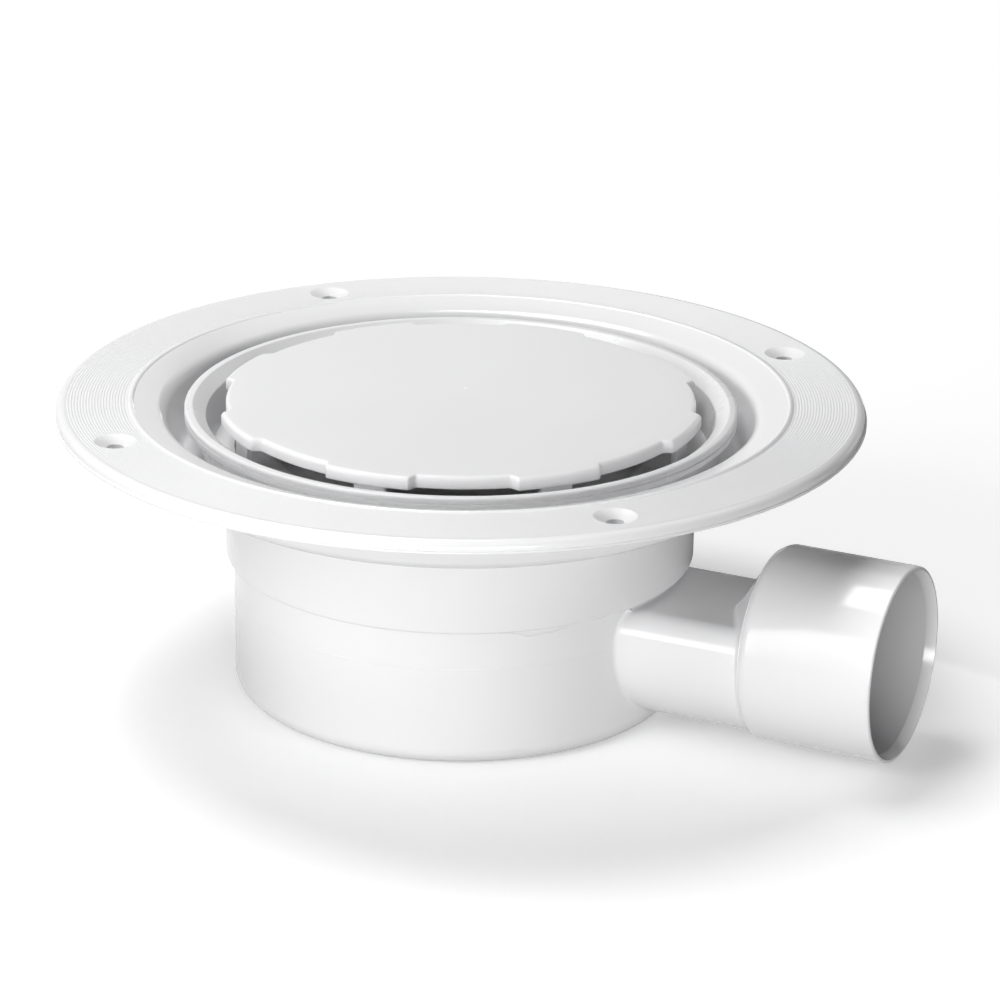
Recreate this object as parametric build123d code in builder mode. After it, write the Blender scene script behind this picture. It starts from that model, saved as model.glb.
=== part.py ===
"""Shower floor trap for sheet flooring: a flange moulding welded to a trap pot,
with a pipe socket, a clamp ring, its screws, a lobed cover and a lift-out water-seal insert.

Frame: +Z up, the outlet along +X, the origin at the centre of the screw-hole
circle on the flange's underside, where it beds on the floor deck. Millimetres.
"""
import os
from math import radians, tan

from build123d import *

# Floor flange
flange_thickness = 4.0
land_width = 23.6            # middle of the bead to the flange's rim
rim_round = 2.5
rim_lip_width = 0.5
rim_lip_height = 0.9
rim_lip_round = 0.3
flange_turn = 4.2            # the flange is welded on slightly turned from the outlet

# Screw holes in the flange
screw_edge_distance = 13.0
screw_hole_count = 4
screw_hole_radius = 2.6
countersink_radius = 6.4
countersink_angle = 90.0

# Fine grooves that key the flooring adhesive, and the bead inside them
groove_pitch = 0.9
groove_depth = 0.3
groove_bead_gap = 0.5
groove_rim_gap = 0.2
bead_half_width = 0.9
bead_height = 0.5

# Bowl that takes the clamp ring, with a shallow dish round it
dish_width = 10.4            # bowl edge to the middle of the bead
flooring_gap = 6.0           # ring lip to the bowl edge, where the flooring goes down
bowl_wall = 4.0
bowl_edge_depth = 3.0
bowl_edge_round = 5.0
bowl_draft = 4.0
bowl_depth = 18.4
bowl_floor_round = 3.0
bowl_under_round = 4.0
flange_under_round = 3.0

# Trap pot
pot_radius = 71.0
pot_wall = 3.0
pot_depth = 94.3             # flange top to the underside of the pot
pot_corner_round = 5.0
overflow_width = 23.5        # weir to the pot's wall
weir_wall = 2.5
weir_depth = 36.0            # flange top to the overflow edge of the weir

# Weld between the skirt, the pot's rim and the collar
weld_gap = 0.1
skirt_wall = 2.5
collar_wall = 3.4
collar_length = 10.6
skirt_edge_round = 0.7

# Outlet pipe, flattened on top to pass under the skirt, and its pipe socket
pipe_wall = 2.5
pipe_foot = 3.8              # underside of the pot to the underside of the pipe
pipe_flat_height = 12.0      # pipe axis to the flat top
pipe_flat_round = 7.7
pipe_skirt_gap = 1.6         # skirt edge to the flat top of the pipe
pipe_root_round = 1.2        # where the pipe leaves the pot
outlet_reach = 78.4          # outside of the pot to the mouth of the socket
socket_bore_radius = 28.0
socket_wall = 2.3
socket_rise = 1.6            # pipe axis to the socket's axis
socket_depth = 39.4          # mouth to the stop for the pipe
socket_stop_wall = 2.3
socket_stop_width = 3.6
shoulder_angle = 59.5        # slope of the shoulder from the socket's axis
shoulder_round = 4.0
shoulder_root_round = 1.5    # where the pipe runs into the shoulder
socket_seam_depth = 3.2      # pipe stop back to the weld of the socket
socket_lead_in_depth = 3.2
socket_lead_in_width = 1.2
socket_lip_round = 0.7

# Clamp ring
lip_drop = 2.0               # flange top to the top of the lip
lip_height = 4.6
lip_width = 2.6
lip_round = 1.0
lip_line_depth = 0.35
lip_line_height = 2.6
funnel_width = 4.1
throat_flare = 2.3
throat_drop = 5.0
ring_wall = 3.0
ring_base_thickness = 3.0
ring_ledge_width = 3.5       # inner edge of the ring's base to its screws

# Screws of the clamp ring, and the bosses that they cut into
clamp_screw_count = 4
clamp_screw_lead = 8.0       # degrees from the middle of a lobe to the screw under it
clamp_screw_radius = 1.6
clamp_screw_length = 9.0
clamp_head_radius = 2.8
clamp_head_height = 2.0
clamp_head_gap = 0.2
clamp_hole_gap = 0.35
pilot_gap = 0.1
pilot_tip_gap = 0.6
pilot_wall = 1.2
boss_wall = 1.9
boss_floor = 1.4
recess_width = 0.8
recess_depth = 1.0

# Cover plate
cover_gap = 3.6              # lobes to the throat of the clamp ring
cover_thickness = 4.0
lobe_count = 8
lobe_angle = 21.5
lobe_step = 2.6
lobe_corner_round = 1.25
cover_top_round = 1.0
leg_width = 10.0
leg_thickness = 2.3

# Lift-out insert and its seal
insert_rim_gap = 0.5
insert_rim_thickness = 2.4
insert_wall = 2.4
spigot_gap = 0.3
spigot_length = 9.6
seal_section_radius = 1.7
seal_squeeze_gap = 0.05
seal_groove_depth = 5.0      # seat of the rim to the middle of the seal
seal_groove_play = 0.1
funnel_fall = 3.6
riser_width = 14.6           # dip tube to the weir
dip_tube_foot = 5.3          # pot floor to the open foot of the dip tube

# Radii that follow from the sizes above, from the pot outwards and inwards
pot_inner_radius = pot_radius - pot_wall
weir_radius = pot_inner_radius - overflow_width
weir_inner_radius = weir_radius - weir_wall
skirt_inner_radius = pot_radius + weld_gap
skirt_radius = skirt_inner_radius + skirt_wall
collar_radius = pot_inner_radius - weld_gap
collar_inner_radius = collar_radius - collar_wall
pilot_radius = clamp_screw_radius + pilot_gap
clamp_circle_radius = skirt_inner_radius + pilot_wall + pilot_radius
ring_base_inner_radius = clamp_circle_radius - ring_ledge_width
ring_neck_radius = clamp_circle_radius + clamp_head_radius + clamp_head_gap
ring_base_radius = ring_neck_radius + ring_wall
throat_radius = ring_neck_radius + throat_flare
lip_inner_radius = throat_radius + funnel_width
lip_radius = lip_inner_radius + lip_width
lobe_radius = throat_radius - cover_gap
notch_radius = lobe_radius - lobe_step
bowl_edge_radius = lip_radius + flooring_gap
bowl_floor_radius = bowl_edge_radius - bowl_draft
bead_radius = bowl_edge_radius + dish_width
flange_radius = bead_radius + land_width
screw_circle_radius = flange_radius - screw_edge_distance
groove_first_radius = bead_radius + bead_half_width + groove_bead_gap
rim_wall_radius = flange_radius - rim_lip_width
groove_last_radius = rim_wall_radius - rim_round - groove_rim_gap
groove_count = int((groove_last_radius - groove_first_radius) / groove_pitch)
insert_rim_radius = ring_base_inner_radius - insert_rim_gap
spigot_radius = collar_inner_radius - spigot_gap
seal_middle_radius = collar_inner_radius - seal_squeeze_gap - seal_section_radius
seal_groove_radius = seal_middle_radius - seal_section_radius - seal_squeeze_gap
seal_groove_half = seal_section_radius + seal_groove_play
insert_inner_radius = seal_groove_radius - insert_wall
dip_tube_radius = weir_inner_radius - riser_width
socket_radius = socket_bore_radius + socket_wall
pipe_radius = socket_bore_radius - socket_stop_width + pipe_wall

# Heights, reaches along the outlet, and turns
flange_top = flange_thickness
bowl_floor = flange_top - bowl_depth
bowl_under = bowl_floor - bowl_wall
pot_bottom = flange_top - pot_depth
pot_floor = pot_bottom + pot_wall
weir_top = flange_top - weir_depth
pipe_axis = pot_bottom + pipe_foot + pipe_radius
pipe_flat = pipe_axis + pipe_flat_height
socket_axis = pipe_axis + socket_rise
skirt_bottom = pipe_flat + pipe_skirt_gap
collar_bottom = bowl_under - collar_length
lip_top = flange_top - lip_drop
lip_bottom = lip_top - lip_height
lip_line = lip_bottom + lip_line_height
throat_height = flange_top - throat_drop
ring_base_top = bowl_floor + ring_base_thickness
screw_tip = ring_base_top - clamp_screw_length
boss_bottom = screw_tip - pilot_tip_gap - boss_floor
cover_under = flange_top - cover_thickness
insert_rim_top = bowl_floor + insert_rim_thickness
spigot_bottom = bowl_floor - spigot_length
seal_height = bowl_floor - seal_groove_depth
dip_tube_bottom = pot_floor + dip_tube_foot
outlet_start = (pot_inner_radius + weir_radius) / 2
socket_mouth = pot_radius + outlet_reach
socket_stop = socket_mouth - socket_depth
socket_seam = socket_stop - socket_seam_depth
shoulder_corner = socket_stop - socket_stop_wall
shoulder_apex = shoulder_corner - socket_radius / tan(radians(shoulder_angle))
lobe_turn = flange_turn
clamp_screw_turn = flange_turn + clamp_screw_lead

os.makedirs("parts", exist_ok=True)


# Floor flange: one turned section, then the holes and the bosses
groove_points = []
for groove in range(groove_count):
    groove_start = groove_first_radius + groove * groove_pitch
    groove_points.append((groove_start, flange_top))
    groove_points.append((groove_start + groove_pitch / 2, flange_top - groove_depth))
groove_points.append((groove_first_radius + groove_count * groove_pitch, flange_top))

bead_inner = (bead_radius - bead_half_width, flange_top)
bead_crest = (bead_radius, flange_top + bead_height)
bead_outer = (bead_radius + bead_half_width, flange_top)
bowl_edge = (bowl_edge_radius, flange_top - bowl_edge_depth)
bowl_corner = (bowl_floor_radius, bowl_floor)
dish_under = (bead_radius, 0)
bowl_root = (bowl_edge_radius + bowl_wall, flange_top - bowl_edge_depth - bowl_wall)
bowl_heel = (bowl_floor_radius + bowl_wall, bowl_under)
rim_top = (rim_wall_radius, flange_top)
rim_lip = (flange_radius, rim_lip_height)
rim_foot = (flange_radius, 0)
skirt_foot = (skirt_radius, skirt_bottom)

with BuildPart() as floor_flange:
    with BuildSketch(Plane.XZ) as flange_section:
        with BuildLine():
            Polyline(bead_inner, bowl_edge, bowl_corner, (collar_inner_radius, bowl_floor),
                     (collar_inner_radius, collar_bottom), (collar_radius, collar_bottom),
                     (collar_radius, bowl_under), (skirt_inner_radius, bowl_under),
                     (skirt_inner_radius, skirt_bottom), skirt_foot, (skirt_radius, bowl_under),
                     bowl_heel, bowl_root, dish_under, rim_foot, rim_lip,
                     (rim_wall_radius, rim_lip_height), rim_top)
            Polyline(rim_top, *reversed(groove_points), bead_outer)
            ThreePointArc(bead_outer, bead_crest, bead_inner)
        make_face()
        for corner, corner_round in ((bowl_edge, bowl_edge_round), (bowl_corner, bowl_floor_round),
                                     (bowl_heel, bowl_under_round), (bowl_root, flange_under_round),
                                     (skirt_foot, skirt_edge_round), (rim_top, rim_round),
                                     (rim_lip, rim_lip_round), (rim_foot, rim_lip_round)):
            fillet(flange_section.vertices().sort_by_distance(corner)[0], radius=corner_round)
    revolve(axis=Axis.Z)
    with Locations(Plane.XY.offset(flange_top)):
        with PolarLocations(screw_circle_radius, screw_hole_count, start_angle=flange_turn + 45):
            CounterSinkHole(screw_hole_radius, countersink_radius, depth=flange_thickness,
                            counter_sink_angle=countersink_angle)
    with BuildSketch(Plane.XY.offset(boss_bottom)) as boss_section:
        with PolarLocations(clamp_circle_radius, clamp_screw_count, start_angle=clamp_screw_turn):
            Circle(pilot_radius + boss_wall)
        Circle(skirt_inner_radius, mode=Mode.SUBTRACT)
    extrude(amount=bowl_under + bowl_wall / 2 - boss_bottom)
    with Locations(Plane.XY.offset(bowl_floor)):
        with PolarLocations(clamp_circle_radius, clamp_screw_count, start_angle=clamp_screw_turn):
            Hole(pilot_radius, depth=bowl_floor - boss_bottom - boss_floor)
floor_flange.part.label = "floor_flange"
export_step(floor_flange.part, "parts/floor_flange.step")


# Trap pot: the outside of pot, pipe and shoulder first, then the waterway is cut from it.
# The turned blank starts and ends at the back, away from the root of the pipe.
def pipe_section(start, inset):
    """Sketch of the flat-topped pipe on the plane x = start, drawn inset from its outside."""
    with BuildSketch(Plane.YZ.offset(start)) as section:
        with Locations((0, pipe_axis)):
            Circle(pipe_radius - inset)
        with Locations((0, pipe_flat - inset + pipe_radius)):
            Rectangle(4 * pipe_radius, 2 * pipe_radius, mode=Mode.SUBTRACT)
        fillet(section.vertices(), radius=pipe_flat_round - inset)
    return section.sketch


socket_line = Axis((0, 0, socket_axis), (1, 0, 0))


def socket_section(end):
    """Half section of the conical shoulder and the socket, solid from its axis, up to x = end."""
    shoulder = (shoulder_corner, socket_axis + socket_radius)
    with BuildSketch(Plane.XZ) as section:
        with BuildLine():
            Polyline((shoulder_apex, socket_axis), shoulder, (end, socket_axis + socket_radius),
                     (end, socket_axis), close=True)
        make_face()
        fillet(section.vertices().sort_by_distance(shoulder)[0], radius=shoulder_round)
    return section.sketch


with BuildPart() as pot_blank:
    with BuildSketch(Plane.XZ) as pot_section:
        with BuildLine():
            Polyline((0, pot_bottom), (pot_radius, pot_bottom), (pot_radius, bowl_under),
                     (0, bowl_under), close=True)
        make_face()
        pot_corner = (pot_radius, pot_bottom)
        fillet(pot_section.vertices().sort_by_distance(pot_corner)[0], radius=pot_corner_round)
    revolve(axis=Axis.Z)

with BuildPart() as trap_pot:
    add(pot_blank.part, rotation=(0, 0, 180))
    extrude(pipe_section(0, 0), amount=socket_stop)
    pipe_root = trap_pot.edges(Select.NEW).filter_by_position(Axis.X, outlet_start, pot_radius)
    fillet(pipe_root, radius=pipe_root_round)
    revolve(socket_section(socket_stop + socket_depth / 2), axis=socket_line)
    shoulder_root = trap_pot.edges(Select.NEW).filter_by_position(Axis.X, shoulder_apex, socket_stop)
    fillet(shoulder_root.filter_by(GeomType.CIRCLE, reverse=True), radius=shoulder_root_round)
    split(bisect_by=Plane.YZ.offset(socket_seam), keep=Keep.BOTTOM)
    with BuildSketch(Plane.XZ) as cavity_section:
        with BuildLine():
            Polyline((0, bowl_under), (pot_inner_radius, bowl_under), (pot_inner_radius, pot_floor),
                     (weir_radius, pot_floor), (weir_radius, weir_top), (weir_inner_radius, weir_top),
                     (weir_inner_radius, pot_floor), (0, pot_floor), close=True)
        make_face()
        fillet(cavity_section.vertices().sort_by_distance((pot_inner_radius, pot_floor))[0],
               radius=pot_corner_round - pot_wall / 2)
    revolve(axis=Axis.Z, mode=Mode.SUBTRACT)
    extrude(pipe_section(outlet_start, pipe_wall), amount=socket_stop - outlet_start, mode=Mode.SUBTRACT)
trap_pot.part.label = "trap_pot"
export_step(trap_pot.part, "parts/trap_pot.step")


# Pipe socket: welded to the pot's shoulder, with a bore up to the stop for the pipe
with BuildPart() as pipe_socket:
    revolve(socket_section(socket_mouth), axis=socket_line)
    split(bisect_by=Plane.YZ.offset(socket_seam), keep=Keep.TOP)
    with BuildSketch(Plane.YZ.offset(socket_stop)):
        with Locations((0, socket_axis)):
            Circle(socket_bore_radius)
    extrude(amount=socket_depth, mode=Mode.SUBTRACT)
    with BuildSketch(Plane.XZ) as lead_in_section:
        with BuildLine():
            Polyline((socket_mouth - socket_lead_in_depth, socket_axis + socket_bore_radius),
                     (socket_mouth, socket_axis + socket_bore_radius + socket_lead_in_width),
                     (socket_mouth, socket_axis), (socket_mouth - socket_lead_in_depth, socket_axis),
                     close=True)
        make_face()
    revolve(axis=socket_line, mode=Mode.SUBTRACT)
    socket_lip = pipe_socket.edges().group_by(Axis.X)[-1].sort_by(SortBy.RADIUS)[-1]
    fillet(socket_lip, radius=socket_lip_round)
    extrude(pipe_section(outlet_start, pipe_wall), amount=socket_stop - outlet_start, mode=Mode.SUBTRACT)
pipe_socket.part.label = "pipe_socket"
export_step(pipe_socket.part, "parts/pipe_socket.step")


# Clamp ring: a turned section with a funnel throat, a rolled lip and a screwed base
lip_outer_top = (lip_radius, lip_top)
lip_inner_top = (lip_inner_radius, lip_top)
lip_outer_foot = (lip_radius, lip_bottom)
throat_edge = (throat_radius, throat_height)
ring_shoulder = (lip_inner_radius, lip_bottom)

with BuildPart() as clamp_ring:
    with BuildSketch(Plane.XZ) as ring_section:
        with BuildLine():
            Polyline((ring_base_inner_radius, bowl_floor), (ring_base_radius, bowl_floor), ring_shoulder,
                     lip_outer_foot, (lip_radius, lip_line - lip_line_depth),
                     (lip_radius - lip_line_depth, lip_line), (lip_radius, lip_line + lip_line_depth),
                     lip_outer_top, lip_inner_top, throat_edge, (ring_neck_radius, ring_base_top),
                     (ring_base_inner_radius, ring_base_top), close=True)
        make_face()
        for corner in (lip_outer_top, lip_inner_top, lip_outer_foot, throat_edge):
            fillet(ring_section.vertices().sort_by_distance(corner)[0], radius=lip_round)
    revolve(axis=Axis.Z)
    with Locations(Plane.XY.offset(ring_base_top)):
        with PolarLocations(clamp_circle_radius, clamp_screw_count, start_angle=clamp_screw_turn):
            Hole(clamp_screw_radius + clamp_hole_gap, depth=ring_base_thickness)
clamp_ring.part.label = "clamp_ring"
export_step(clamp_ring.part, "parts/clamp_ring.step")


# Clamp screws: domed heads with a cross recess, seated on the ring's base
with BuildPart() as clamp_screws:
    with BuildSketch(Plane.XY.offset(screw_tip)):
        with PolarLocations(clamp_circle_radius, clamp_screw_count, start_angle=clamp_screw_turn):
            Circle(clamp_screw_radius)
    extrude(amount=clamp_screw_length)
    with BuildSketch(Plane.XY.offset(ring_base_top)):
        with PolarLocations(clamp_circle_radius, clamp_screw_count, start_angle=clamp_screw_turn):
            Circle(clamp_head_radius)
    extrude(amount=clamp_head_height)
    head_top = clamp_screws.faces().filter_by(Axis.Z).group_by(Axis.Z)[-1].edges()
    fillet(head_top, radius=clamp_head_height / 2)
    with BuildSketch(Plane.XY.offset(ring_base_top + clamp_head_height)):
        with PolarLocations(clamp_circle_radius, clamp_screw_count, start_angle=clamp_screw_turn):
            Rectangle(clamp_head_radius, recess_width)
            Rectangle(recess_width, clamp_head_radius)
    extrude(amount=-recess_depth, mode=Mode.SUBTRACT)
clamp_screws.part.label = "clamp_screws"
export_step(clamp_screws.part, "parts/clamp_screws.step")


# Cover plate: a disc with shallow lobes, on a leg under each lobe
with BuildPart() as cover_plate:
    with BuildSketch(Plane.XY.offset(cover_under)) as plate_outline:
        with PolarLocations(0, lobe_count, start_angle=lobe_turn):
            lobe_side = lobe_radius * tan(radians(lobe_angle / 2))
            Polygon((0, 0), (lobe_radius, -lobe_side), (2 * lobe_radius, 0), (lobe_radius, lobe_side),
                    align=None)
        Circle(lobe_radius, mode=Mode.INTERSECT)
        Circle(notch_radius)
        fillet(plate_outline.vertices(), radius=lobe_corner_round)
    extrude(amount=cover_thickness)
    fillet(cover_plate.faces().sort_by(Axis.Z)[-1].edges(), radius=cover_top_round)
    with BuildSketch(Plane.XY.offset(ring_base_top)):
        with PolarLocations(notch_radius - leg_thickness / 2, lobe_count, start_angle=lobe_turn):
            Rectangle(leg_thickness, leg_width)
        Circle(notch_radius, mode=Mode.INTERSECT)
    extrude(amount=cover_under - ring_base_top)
cover_plate.part.label = "cover_plate"
export_step(cover_plate.part, "parts/cover_plate.step")


# Lift-out insert: a rim on the bowl floor, a sealed spigot, a funnel and the dip tube
with BuildPart() as trap_insert:
    with BuildSketch(Plane.XZ) as insert_section:
        with BuildLine():
            Polyline((dip_tube_radius - insert_wall, dip_tube_bottom),
                     (dip_tube_radius - insert_wall, spigot_bottom + insert_wall - funnel_fall),
                     (insert_inner_radius, spigot_bottom + insert_wall),
                     (insert_inner_radius, insert_rim_top),
                     (insert_rim_radius, insert_rim_top), (insert_rim_radius, bowl_floor),
                     (spigot_radius, bowl_floor), (spigot_radius, seal_height + seal_groove_half),
                     (seal_groove_radius, seal_height + seal_groove_half),
                     (seal_groove_radius, seal_height - seal_groove_half),
                     (spigot_radius, seal_height - seal_groove_half), (spigot_radius, spigot_bottom),
                     (insert_inner_radius, spigot_bottom),
                     (dip_tube_radius, spigot_bottom - funnel_fall), (dip_tube_radius, dip_tube_bottom),
                     close=True)
        make_face()
    revolve(axis=Axis.Z)
trap_insert.part.label = "trap_insert"
export_step(trap_insert.part, "parts/trap_insert.step")


# Insert seal: an O-ring in the spigot's groove
with BuildPart() as insert_seal:
    with BuildSketch(Plane.XZ):
        with Locations((seal_middle_radius, seal_height)):
            Circle(seal_section_radius)
    revolve(axis=Axis.Z)
insert_seal.part.label = "insert_seal"
export_step(insert_seal.part, "parts/insert_seal.step")
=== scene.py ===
# %% [markdown]
# # A shower floor trap
# A white plastic drain for a wet room: a grooved flange with a bowl in it, a pot
# welded below, a pipe socket at the side, a clamp ring for the flooring and a lobed
# cover. The solids come in as a fixed frame, one object per piece, in metres and in
# the part's own axes: +Z up, +X along the outlet. Everything below dresses that frame.

# %% Load the frame
from math import cos, pi, radians, sin

import bpy
import numpy as np
from mathutils import Matrix, Vector


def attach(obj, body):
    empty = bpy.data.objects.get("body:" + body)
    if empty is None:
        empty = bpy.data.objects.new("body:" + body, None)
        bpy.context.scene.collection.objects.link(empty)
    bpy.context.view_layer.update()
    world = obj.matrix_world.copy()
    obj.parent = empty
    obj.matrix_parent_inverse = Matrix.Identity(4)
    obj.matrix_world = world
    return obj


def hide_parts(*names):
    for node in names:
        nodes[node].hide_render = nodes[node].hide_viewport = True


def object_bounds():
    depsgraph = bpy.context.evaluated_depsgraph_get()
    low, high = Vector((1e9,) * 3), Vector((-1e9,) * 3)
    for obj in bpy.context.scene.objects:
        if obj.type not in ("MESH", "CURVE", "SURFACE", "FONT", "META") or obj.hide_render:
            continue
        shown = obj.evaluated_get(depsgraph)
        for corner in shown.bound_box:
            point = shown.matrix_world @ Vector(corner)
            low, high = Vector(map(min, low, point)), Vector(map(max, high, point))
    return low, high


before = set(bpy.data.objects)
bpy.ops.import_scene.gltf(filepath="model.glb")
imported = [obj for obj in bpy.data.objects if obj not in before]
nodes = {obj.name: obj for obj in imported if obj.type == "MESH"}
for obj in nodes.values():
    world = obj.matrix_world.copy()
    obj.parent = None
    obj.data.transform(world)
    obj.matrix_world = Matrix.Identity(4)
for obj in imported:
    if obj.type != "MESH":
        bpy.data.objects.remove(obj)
cad_low, cad_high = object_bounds()
print("pieces in the frame:", ", ".join(sorted(nodes)))

# %% [markdown]
# ## Camera
# A product photographer stands back and uses a long lens, which keeps circles close
# to true ellipses. The distance, height and turn below come from a least-squares fit
# to the rims of the flange and the pot: 1.24 m away, 19 degrees above the flange,
# with the outlet turned 26 degrees out of the picture plane. Small turns about the
# camera's own axes centre the part in the frame, so no lens shift is needed.

# %% Camera
LENS_PIXELS, FRAME_PIXELS = 4000.0, 1000.0
CAMERA_DISTANCE = 1.24496
CAMERA_ELEVATION = 0.333929
CAMERA_AZIMUTH = radians(26.0)
CAMERA_ROLL, CAMERA_TILT, CAMERA_PAN = 0.0092486, 0.0260086, -0.0099372
FLANGE_TOP = 0.004


def turn(axis, angle):
    """Rotation matrix about one axis, by the right-hand rule."""
    return np.array(Matrix.Rotation(angle, 3, axis))


level = np.array([[1, 0, 0],
                  [0, -sin(CAMERA_ELEVATION), -cos(CAMERA_ELEVATION)],
                  [0, cos(CAMERA_ELEVATION), -sin(CAMERA_ELEVATION)]])
aimed = turn("Z", CAMERA_ROLL) @ turn("X", CAMERA_TILT) @ turn("Y", CAMERA_PAN) @ level
right_down_forward = aimed @ turn("Z", CAMERA_AZIMUTH).T
place = turn("Z", CAMERA_AZIMUTH) @ np.array([0, -cos(CAMERA_ELEVATION), sin(CAMERA_ELEVATION)])
camera_data = bpy.data.cameras.new("photo_camera")
camera_data.sensor_width = 36.0
camera_data.lens = camera_data.sensor_width * LENS_PIXELS / FRAME_PIXELS
camera_data.clip_start, camera_data.clip_end = 0.05, 20.0
camera = bpy.data.objects.new("photo_camera", camera_data)
camera_axes = np.diag([1, -1, -1]) @ right_down_forward
camera.matrix_world = (Matrix.Translation(place * CAMERA_DISTANCE + np.array([0, 0, FLANGE_TOP]))
                       @ Matrix(camera_axes.T.tolist()).to_4x4())
bpy.context.scene.collection.objects.link(camera)
bpy.context.scene.camera = camera
bpy.context.scene.view_settings.view_transform = "Standard"
print("camera at", [round(v, 3) for v in camera.matrix_world.translation])

# %% [markdown]
# ## Light
# White plastic shows its form only through soft gradients, so the lamps are large and
# few. A softbox above and slightly behind lights the flange and the cover and leaves
# the pipe in the flange's shadow. A tall one in front, to the left, wraps the pot and
# draws the broad band along the socket. A wide one low in front fills the pot and the
# pipe, and a wide one low behind keeps the far side white when the part is turned.
# Both stay near the floor, where the level faces can't mirror them. Little comes from
# the right, which is what rounds off the skirt there.

# %% Light
AIM = Vector((0, 0, -0.04))


def softbox(name, azimuth, elevation, distance, width, height, power):
    """Area lamp on a sphere round the part, aimed at its middle. Angles in degrees."""
    a, e = radians(azimuth), radians(elevation)
    data = bpy.data.lights.new(name, "AREA")
    data.shape, data.size, data.size_y, data.energy = "RECTANGLE", width, height, power
    lamp = bpy.data.objects.new(name, data)
    lamp.location = AIM + distance * Vector((sin(a) * cos(e), -cos(a) * cos(e), sin(e)))
    lamp.rotation_euler = (AIM - lamp.location).to_track_quat("-Z", "Y").to_euler()
    bpy.context.scene.collection.objects.link(lamp)
    return lamp


lamps = [softbox("top_softbox", 250, 70, 1.2, 0.6, 0.6, 10.0),
         softbox("left_softbox", 334, 22, 1.3, 0.5, 0.9, 8.0),
         softbox("front_softbox", 28, 4, 1.3, 0.8, 0.3, 9.8),
         softbox("back_softbox", 176, 3, 1.3, 1.1, 0.2, 7.5)]
print("softboxes:", ", ".join(lamp.name for lamp in lamps))

# %% [markdown]
# ## Background
# The studio is white wherever the camera looks, or wherever a glossy or clear surface
# mirrors it, but it lights the part only faintly. A Light Path node makes that split:
# seen or mirrored, the world is plain white at strength 1; as a lamp it is dim.

# %% Background
AMBIENT = 0.06


def seen_or_mirrored(tree):
    """Node socket that is 1 for camera, glossy and transmission rays, and 0 for the rest."""
    path = tree.nodes.new("ShaderNodeLightPath")
    total = path.outputs["Is Camera Ray"]
    for ray in ("Is Glossy Ray", "Is Transmission Ray"):
        add = tree.nodes.new("ShaderNodeMath")
        add.operation, add.use_clamp = "ADD", True
        tree.links.new(total, add.inputs[0])
        tree.links.new(path.outputs[ray], add.inputs[1])
        total = add.outputs[0]
    return total


world = bpy.data.worlds.new("studio")
bpy.context.scene.world = world
world.use_nodes = True
tree = world.node_tree
dim = tree.nodes["Background"]
dim.inputs["Color"].default_value = (1, 1, 1, 1)
dim.inputs["Strength"].default_value = AMBIENT
bright = tree.nodes.new("ShaderNodeBackground")
bright.inputs["Color"].default_value = (1, 1, 1, 1)
bright.inputs["Strength"].default_value = 1.0
mix = tree.nodes.new("ShaderNodeMixShader")
tree.links.new(seen_or_mirrored(tree), mix.inputs["Fac"])
tree.links.new(dim.outputs[0], mix.inputs[1])
tree.links.new(bright.outputs[0], mix.inputs[2])
tree.links.new(mix.outputs[0], tree.nodes["World Output"].inputs["Surface"])
print("ambient strength", AMBIENT)

# %% [markdown]
# ## Floor
# The trap stands on a white sweep. As a lamp, the floor is a rough grey surface that
# bounces a little light up under the flange. Seen by the camera, or mirrored, it is
# white paper that takes the shadow of the part, lifted by a faint glow so that it is
# white where no shadow falls. Further out it fades to an even white, as a sweep does
# where it curves up out of the lamps' reach, and runs into the background with no line.

# %% Floor
FLOOR_REACH, FLOOR_BOUNCE, PAPER, PAPER_GLOW = 6.0, 0.33, 0.95, 0.3
SHADOW_REACH, ALL_WHITE_FROM = 0.2, 0.55

floor_corners = np.array([(-1, -1, 0), (1, -1, 0), (1, 1, 0), (-1, 1, 0)]) * FLOOR_REACH
floor_corners[:, 2] = cad_low.z
floor_mesh = bpy.data.meshes.new("floor")
floor_mesh.from_pydata(floor_corners.tolist(), [], [(0, 1, 2, 3)])
floor = bpy.data.objects.new("floor", floor_mesh)
bpy.context.scene.collection.objects.link(floor)
sweep = bpy.data.materials.new("white_sweep")
sweep.use_nodes = True
tree = sweep.node_tree
paint = tree.nodes["Principled BSDF"]
paint.inputs["Base Color"].default_value = (FLOOR_BOUNCE, FLOOR_BOUNCE, FLOOR_BOUNCE, 1)
paint.inputs["Roughness"].default_value = 0.9
paint.inputs["Specular IOR Level"].default_value = 0.1
paper = tree.nodes.new("ShaderNodeBsdfDiffuse")
paper.inputs["Color"].default_value = (PAPER, PAPER, PAPER, 1)
glow = tree.nodes.new("ShaderNodeEmission")
glow.inputs["Strength"].default_value = PAPER_GLOW
near = tree.nodes.new("ShaderNodeAddShader")
tree.links.new(paper.outputs[0], near.inputs[0])
tree.links.new(glow.outputs[0], near.inputs[1])
even = tree.nodes.new("ShaderNodeEmission")
even.inputs["Strength"].default_value = 1.0
away = tree.nodes.new("ShaderNodeVectorMath")
away.operation = "LENGTH"
tree.links.new(tree.nodes.new("ShaderNodeTexCoord").outputs["Object"], away.inputs[0])
fade = tree.nodes.new("ShaderNodeMapRange")
fade.interpolation_type = "SMOOTHSTEP"
fade.inputs["From Min"].default_value, fade.inputs["From Max"].default_value = SHADOW_REACH, ALL_WHITE_FROM
tree.links.new(away.outputs["Value"], fade.inputs["Value"])
seen = tree.nodes.new("ShaderNodeMixShader")
tree.links.new(fade.outputs["Result"], seen.inputs["Fac"])
tree.links.new(near.outputs[0], seen.inputs[1])
tree.links.new(even.outputs[0], seen.inputs[2])
mix = tree.nodes.new("ShaderNodeMixShader")
tree.links.new(seen_or_mirrored(tree), mix.inputs["Fac"])
tree.links.new(paint.outputs[0], mix.inputs[1])
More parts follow.
